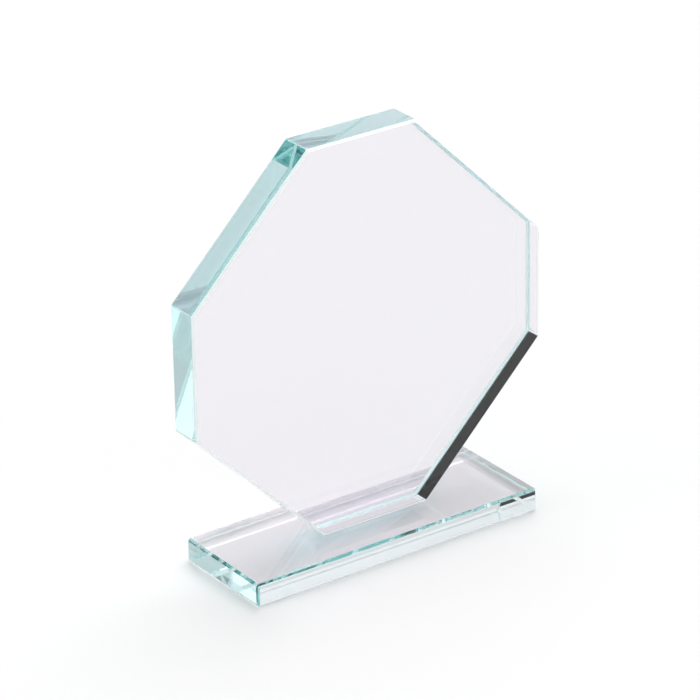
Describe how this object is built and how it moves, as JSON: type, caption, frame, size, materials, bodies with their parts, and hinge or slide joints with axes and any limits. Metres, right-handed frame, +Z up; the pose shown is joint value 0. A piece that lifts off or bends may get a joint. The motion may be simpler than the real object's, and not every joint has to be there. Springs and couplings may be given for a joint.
{
  "type": "glass award",
  "caption": "Thick clear glass octagonal plaque with bevelled faces, bonded upright on a rectangular clear glass base slab.",
  "frame": {"origin": "middle of the base's underside, on the surface that the award stands on", "axes": "+Z up, the front of the award faces -Y, its width runs along X"},
  "size_m": [0.16, 0.048, 0.1701],
  "materials": {
    "plaque_glass": "polished clear float glass with a faint blue-green tint",
    "base_glass": "polished clear float glass with a faint blue-green tint",
    "clear_adhesive": "clear light-cured adhesive film"
  },
  "bodies": {
    "root": {"glass_plaque": "plaque_glass", "glass_base": "base_glass", "adhesive_bond": "clear_adhesive"}
  },
  "joints": []
}
